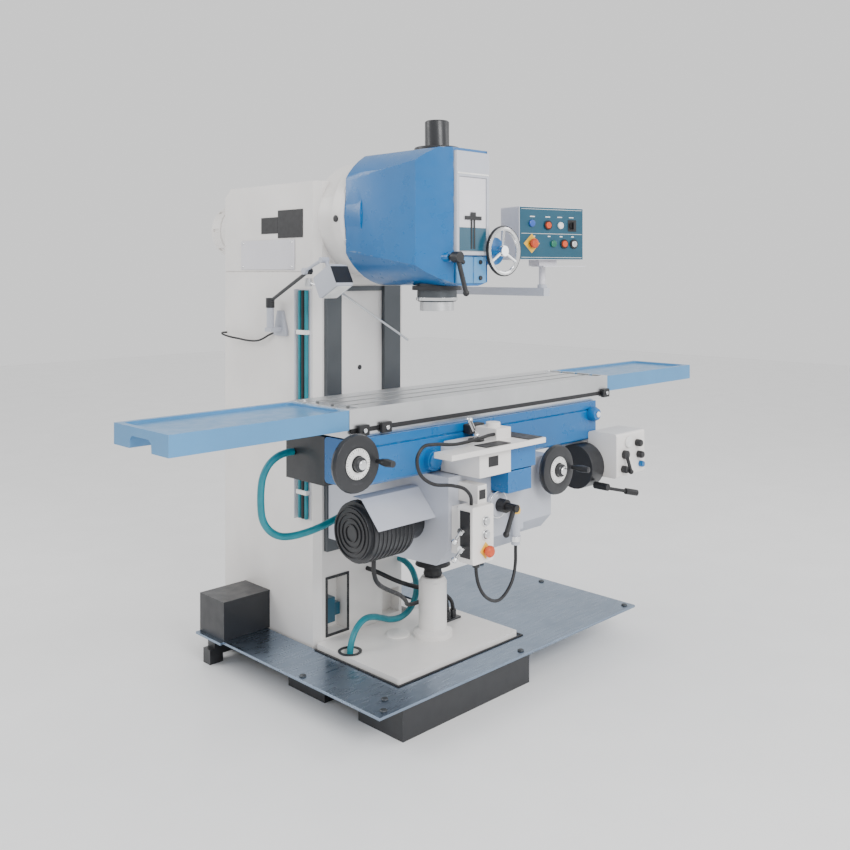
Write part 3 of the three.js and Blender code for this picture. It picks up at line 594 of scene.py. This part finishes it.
def head_details():
    (_, face, low), (_, _, high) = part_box("head_front_plate")
    slabs("depth_window", [((-0.073, face + 0.0035, low + 0.015), (0.073, face + 0.0078, high - 0.093))],
          lilac_paint_and_shade, "head")
    slabs("depth_window_shadow", [((-0.072, face + 0.0022, low + 0.016), (0.072, face + 0.0034, low + 0.10))],
          navy_paint, "head")
    slabs("depth_scale", [((-0.012, face + 0.0010, low + 0.022), (-0.003, face + 0.0021, low + 0.13)),
                          ((0.003, face + 0.0010, low + 0.022), (0.012, face + 0.0021, low + 0.13))],
          black_plastic, "head", edge=0.0003)
    slabs("depth_pointer", [((-0.045, face - 0.001, low + 0.128), (0.045, face + 0.0008, low + 0.142)),
                            ((-0.014, face - 0.001, low + 0.142), (0.014, face + 0.0008, low + 0.156))],
          black_plastic, "quill")
    # A thin white strip across the head front where the top chamfer meets the face: a painted highlight of
    # the lit chamfer edge.
    slabs("head_chamfer_highlight", [((-0.084, face - 0.0015, high - 0.083), (0.084, face - 0.0002, high - 0.077))],
          white_plastic, "head", edge=0.0004)
    body_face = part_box("head_housing")[0][1] + 0.004
    plate_low, plate_high, plate_half, slot_half, thick = 1.556, 1.652, 0.080, 0.014, 0.008
    plate_front, plate_back = body_face - thick, body_face - GAP
    slabs("clamp_plate", [((-plate_half, plate_front, plate_low), (-slot_half, plate_back, plate_high)),
                          ((slot_half, plate_front, plate_low), (plate_half, plate_back, plate_high)),
                          ((-0.0145, body_face - thick / 2, plate_low), (0.0145, plate_back, plate_high))],
          pale_blue_paint, "head")
    corners = [(x, plate_front, z) for x in (-0.047, 0.047) for z in (1.575, 1.633)]
    turned("clamp_screws", corners, "y", knob(0.0085, 0.006), black_plastic, "head")
    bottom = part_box("head_housing")[0][2]
    turned("quill_collar", [(0, 0, bottom)], "z", ring(0.077, 0.094, -0.001, -0.017), black_paint, "head",
           closed=True)
    turned("quill_lip", [(0, 0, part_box("quill")[0][2])], "z", ring(0.0755, 0.079, 0.004, 0.016), chrome,
           "quill", closed=True)
    bolts = []
    bolt_circle, tilt_height = 0.243, 1.81
    for i in range(8):
        angle = math.radians(22.5 + 45 * i)
        bolts.append((bolt_circle * math.cos(angle), 0.2624, tilt_height + bolt_circle * math.sin(angle)))
    turned("flange_bolts", bolts, "y", knob(0.0055, 0.003), chrome, "root")
    plug = [(0, 0.004), (0.013, 0.004), (0.013, -0.003), (0, -0.004)]
    turned("flange_plug", [(-0.2495, 0.294, 1.80)], "x", plug, black_plastic, "root")


def column_details():
    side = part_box("column")[0][0]
    slabs("name_plates", [((side - 0.003, 0.508, 1.7345), (side - GAP, 0.672, 1.8476)),
                          ((side - 0.0025, 0.673, 1.754), (side - GAP, 0.788, 1.821))],
          black_plastic, "root")
    # The side cover's lilac-grey against the white column is painted shade of a recessed cover.
    slabs("electrical_cover", [((side - 0.006, 0.560, 1.606), (side - GAP, 0.93, 1.728))],
          lilac_paint_and_shade, "root", edge=0.003)
    corners = [(side - 0.006, y, z) for y in (0.575, 0.915) for z in (1.618, 1.716)]
    screw = [(0, 0), (0.006, 0), (0.005, -0.003), (0, -0.003)]
    turned("cover_screws", corners, "x", screw, chrome, "root")
    slabs("hose_channel", [((side - 0.004, 0.455, 0.62), (side - GAP, 0.535, 1.53)),
                           ((side - 0.026, 0.531, 0.62), (side - 0.0035, 0.535, 1.53))],
          lilac_paint_and_shade, "root")
    pipe = [(0, 0.0), (0.0075, 0.0), (0.0075, 0.90), (0, 0.90)]
    pipes = (("front", 0.470, teal_rubber, "teal_hose"),
             ("middle", 0.490, black_rubber, "black_cable"),
             ("rear", 0.511, teal_rubber, "teal_hose"))
    for label, y, look, slot in pipes:
        turned("column_pipe_" + label, [(side - 0.013, y, 0.625)], "z", pipe, look, "root")
    clips = [((side - 0.024, 0.458, z), (side - 0.0041, 0.524, z + 0.018)) for z in (0.72, 1.04, 1.35)]
    slabs("pipe_clips", clips, white_plastic, "root", edge=0.003)
    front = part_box("column")[0][1] + 0.09
    turned("column_plug", [(-0.02, front, 1.21)], "y", knob(0.010, 0.003), black_plastic, "root")
    left, right, low, high = -0.198, -0.078, 0.159, 0.396
    post, rail, seam = 0.010, 0.011, 0.0005
    face, seat = front - 0.004, front - GAP
    slabs("window_frame", [((left, face, high - rail), (right, seat, high)),
                           ((left, face, low), (right, seat, low + rail)),
                           ((left, face, low + rail + seam), (left + post, seat, high - rail - seam)),
                           ((right - post, face, low + rail + seam), (right, seat, high - rail - seam))],
          black_paint, "root")
    slabs("window_manifold", [((-0.180, front + 0.02, 0.20), (-0.130, front + 0.068, 0.30)),
                              ((-0.125, front + 0.03, 0.22), (-0.096, front + 0.068, 0.27))],
          navy_paint, "root", edge=0.004)
    x, y, z = centre("main_motor")
    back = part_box("main_motor")[1][1]
    shape = bmesh.new()
    for radius in (0.03, 0.05, 0.07, 0.09):
        put_turned(shape, (x, back - 0.006, z), "y", ring(radius, radius + 0.005, 0, 0.0055), closed=True)
    add_piece("fan_grille", shape, black_plastic, "root")


def base_details():
    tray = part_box("chip_tray")
    top = tray[1][2]
    (x0, y0, _), (x1, _, _) = tray
    places = [(x, y0 + 0.03, top) for x in (x0 + 0.06, 0.3, x1 - 0.04)]
    places += [(x0 + 0.04, 0.25, top), (x1 - 0.04, 0.30, top), (x1 - 0.04, 0.68, top), (-0.36, -0.10, top)]
    turned("tray_bolts", places, "z", [(0, 0), (0.013, 0), (0.013, 0.004), (0.009, 0.007), (0, 0.007)],
           dark_iron, "root")
    (cx0, cy0, _), (cx1, _, _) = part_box("base_casting")
    # A thin black strip on the tray hugging the foot of the base casting: painted shade of the gap between
    # casting and tray.
    near, far, gap_shade_end, gap_shade_top = 0.007, 0.016, 0.41, top + 0.004
    side_start = cy0 - 0.0065
    slabs("tray_gap_shade", [((cx0 - far, cy0 - far, top + GAP), (cx1 + far, cy0 - near, gap_shade_top)),
                        ((cx0 - far, side_start, top + GAP), (cx0 - near, gap_shade_end, gap_shade_top)),
                        ((cx1 + near, side_start, top + GAP), (cx1 + far, gap_shade_end, gap_shade_top))],
          black_rubber, "root")
    turned("drain_ring", [(-0.206, 0.262, 0.1503)], "z", ring(0.035, 0.046, 0, 0.005), black_paint, "root",
           closed=True)
    screw_x, screw_y, _ = centre("elevating_screw")
    nut_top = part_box("base_casting")[1][2]
    folds = [(0.034 + 0.004 * (i % 2), nut_top + 0.001 + 0.012 * i) for i in range(12)]
    lower = [(0.026, nut_top + 0.001), *folds, (0.026, folds[-1][1])]
    turned("lower_sleeve", [(screw_x, screw_y, 0)], "z", lower, black_rubber, "root",
           closed=True)
    knee_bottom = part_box("knee")[0][2]
    folds = [(0.066 + 0.005 * (i % 2), knee_bottom - 0.001 - 0.011 * i) for i in range(12)]
    upper = [(0.060, knee_bottom - 0.001), *folds, (0.060, folds[-1][1])]
    turned("upper_sleeve", [(screw_x, screw_y, 0)], "z", upper, black_rubber, "knee",
           closed=True)


def knee_details():
    (x0, front, _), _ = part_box("pendant_box")
    x_stop, _, z_stop = centre("pendant_stop_mushroom")
    shape = bmesh.new()
    plate = ring(0.0125, 0.029, 0, -0.0022)
    put_turned(shape, (x_stop, front - GAP, z_stop), "y", plate, closed=True, sides=4)
    add_piece("pendant_stop_plate", shape, yellow_plastic, "knee")
    shape = bmesh.new()
    for node in ("pendant_start_button", "pendant_stop_button"):
        x, _, z = centre(node)
        put_turned(shape, (x, front - GAP, z), "y", ring(0.0142, 0.0185, 0, -0.005), closed=True)
    add_piece("pendant_bezels", shape, chrome, "knee")
    slabs("pendant_side_plate", [((x0 - 0.002, -0.356, 0.632), (x0 - GAP, -0.31, 0.79))], black_plastic,
          "knee")
    slabs("pendant_window", [((-0.143, -0.3425, 0.820), (-0.112, -0.3403, 0.852))], black_plastic, "knee")
    turned("pendant_gland", [(-0.151, -0.333, 0.6117)], "z", ring(0.0065, 0.0125, 0, -0.022), black_plastic,
           "knee", closed=True, edge=0.002)
    turned("elevation_dial", [(0.034, -0.262, 0.762)], "y", ring(0.0455, 0.049, 0, -0.014), chrome, "knee",
           closed=True)
    cap = [(0, 0), (0.017, 0), (0.019, 0.012), (0.014, 0.028), (0, 0.03)]
    connector_x, connector_y = 0.130, -0.275
    turned("connector_cap", [(connector_x, connector_y, 0.7143)], "z", cap, yellow_plastic, "knee")
    turned("connector_nut", [(connector_x, connector_y, 0.612)], "z", ring(0.0163, 0.020, 0, 0.02),
           chrome, "knee", closed=True)
    mx0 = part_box("feed_motor")[0][0]
    motor_y, motor_z = -0.066, 0.717
    shape = bmesh.new()
    for i in range(9):
        x = mx0 + 0.032 + 0.019 * i
        put_turned(shape, (x, motor_y, motor_z), "x", ring(0.1035, 0.1065, 0, 0.006), closed=True)
    add_piece("feed_motor_ribs", shape, black_paint, "knee")
    shape = bmesh.new()
    for radius in (0.026, 0.045, 0.064, 0.081):
        circle = ring(radius, radius + 0.006, 0, -0.004)
        put_turned(shape, (mx0 - GAP, motor_y, motor_z), "x", circle, closed=True)
    add_piece("feed_motor_grille", shape, black_plastic, "knee")


def saddle_details():
    (_, front, z0), (x1, _, z1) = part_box("feed_gearbox")
    turned("gearbox_dial", [(x1 - 0.125, front - GAP, z1 - 0.04)], "y", knob(0.024, 0.010), white_plastic,
           "saddle")
    places = [(x1 - 0.062, front - GAP, z1 - 0.05), (x1 - 0.05, front - GAP, z1 - 0.10),
              (x1 - 0.165, front - GAP, z0 + 0.035)]
    turned("gearbox_knobs", places, "y", knob(0.015, 0.026), black_plastic, "saddle",
           edge=0.002)
    turned("gearbox_blue_knob", [(x1 - 0.035, front - GAP, z0 + 0.04)], "y", knob(0.013, 0.018),
           blue_paint, "saddle")
    boss = (-0.195, -0.1823, 0.939)
    turned("saddle_boss_cap", [boss], "y", knob(0.028, 0.008), blue_paint, "saddle", edge=0.003)
    turned("lock_knob_centre", [(0.765, -0.1965, 1.0)], "y", knob(0.012, 0.006), white_plastic, "lock_knob")
    shelf_top = 1.0
    mat_top = shelf_top + 0.003
    turned("lever_base_ring", [(-0.06, -0.252, shelf_top + GAP)], "z", ring(0.0215, 0.029, 0, 0.006),
           black_plastic, "saddle", closed=True)
    slabs("shelf_mat", [((-0.140, -0.372, shelf_top + GAP), (-0.012, -0.315, mat_top)),
                        ((0.085, -0.372, shelf_top + GAP), (0.164, -0.185, mat_top))],
          black_rubber, "saddle")
    slabs("console_window", [((-0.10, -0.3475, 0.925), (-0.05, -0.3453, 0.96))], black_plastic, "saddle")


def panel_details():
    panel_at, panel_turn = (0.6, -0.03, 1.755), math.radians(-15)
    turn = Matrix.Translation(panel_at) @ Matrix.Rotation(panel_turn, 4, "Z")
    face = -0.0653
    slabs("panel_face", [((-0.162, face - 0.0015, -0.106), (0.162, face, 0.106))], navy_paint, "panel",
          turn)
    line = face - 0.0016
    rule_half, rule = 0.155, 0.0015
    marks = [((-rule_half, line - PRINT, low), (rule_half, line, low + rule))
             for low in (-0.002, 0.098, -0.0995)]
    for x in (-0.10, -0.022, 0.04, 0.10):
        marks.append(((x - 0.012, line - PRINT, 0.066), (x + 0.012, line, 0.070)))
        marks.append(((x, line - PRINT, -0.014), (x + 0.014, line, -0.010)))
    slabs("panel_labels", marks, white_plastic, "panel", turn, edge=0.0001)
    shape = bmesh.new()
    put_turned(shape, (-0.104, line, -0.042), "y", ring(0.0125, 0.040, 0, -0.002), closed=True, sides=4)
    add_piece("panel_stop_plate", shape, yellow_plastic, "panel", turn)
    shape = bmesh.new()
    for x, z in ((-0.022, 0.034), (0.062, -0.042), (0.112, -0.042)):
        put_turned(shape, (x, line, z), "y", ring(0.0152, 0.0195, 0, -0.006), closed=True)
    add_piece("panel_bezels", shape, black_plastic, "panel", turn)
    lamps = (("blue", -0.104, 0.040, blue_lens, "blue_paint"),
             ("white", 0.042, 0.034, white_plastic, "white_paint"),
             ("green", 0.006, -0.042, green_lens, "navy_paint"))
    for label, x, z, look, slot in lamps:
        turned("panel_lamp_" + label, [(x, line, z)], "y", knob(0.0145, 0.009), look, "panel",
               turn=turn, edge=0.002)
    slabs("panel_selector_plate", [((0.082, line - 0.0015, 0.010), (0.126, line, 0.058))], black_plastic,
          "panel", turn)


def lamp_details():
    hood_at, hood_tilt = (-0.319, 0.226, 1.562), math.radians(-28)
    place = Matrix.Translation(hood_at) @ Matrix.Rotation(hood_tilt, 4, "X")
    slabs("lamp_lens", [((-0.033, -0.048, -0.0462), (0.033, 0.048, -0.0443))], white_plastic, "lamp",
          place, edge=0.001)
    slabs("lamp_band", [((-0.0412, -0.0575, -0.034), (0.0412, -0.0562, 0.034))], black_plastic, "lamp",
          place)
    fins = [((-0.030, -0.045 + 0.018 * i, 0.0443), (0.030, -0.036 + 0.018 * i, 0.049)) for i in range(5)]
    slabs("lamp_fins", fins, grey_paint, "lamp", place)


add_camera()
add_studio()
add_cords()
finish_nodes()
handwheel_dials()
table_details()
head_details()
column_details()
base_details()
knee_details()
saddle_details()
panel_details()
lamp_details()
